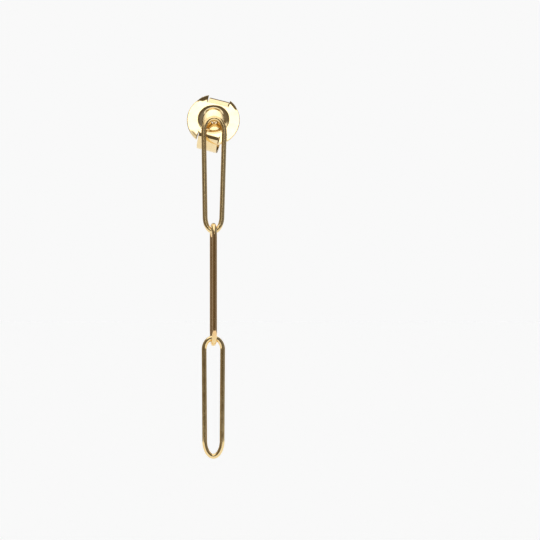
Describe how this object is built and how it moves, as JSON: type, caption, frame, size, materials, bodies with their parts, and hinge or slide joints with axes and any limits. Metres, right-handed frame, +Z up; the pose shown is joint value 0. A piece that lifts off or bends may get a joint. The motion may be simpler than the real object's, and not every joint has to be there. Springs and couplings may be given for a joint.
{
  "type": "dangle earring",
  "caption": "Gold wire drop earring: long narrow links hang in each other below an ear post that carries a slide-on butterfly back.",
  "frame": {"origin": "foot of the ear post, on its axis, at the back of the top link, where the earring pins on", "axes": "+Z up, the links hang down -Z and the post runs back along +Y, drooping 17 degrees; the front faces -Y"},
  "size_m": [0.0069, 0.0155, 0.0476],
  "materials": {
    "gold_wire": "polished gold-filled wire",
    "gold_sheet": "polished gold-filled sheet"
  },
  "bodies": {
    "front": {"top_link_with_post": "gold_wire"},
    "back": {"butterfly_back": "gold_sheet"},
    "middle": {"middle_link": "gold_wire"},
    "bottom": {"bottom_link": "gold_wire"}
  },
  "joints": [
    {"name": "back_slide", "type": "slide", "parent": "front", "child": "back", "axis": [0, 0.9563, -0.2924], "range_m": [0, 0.009]},
    {"name": "middle_swing", "type": "hinge", "parent": "front", "child": "middle", "pos_m": [0, -0.00488, -0.01485], "axis": [1, 0, 0], "range_deg": [-90, 90]},
    {"name": "bottom_swing", "type": "hinge", "parent": "middle", "child": "bottom", "pos_m": [0, -0.00488, -0.02944], "axis": [-0.1478, 0.989, 0], "range_deg": [-90, 90]}
  ]
}
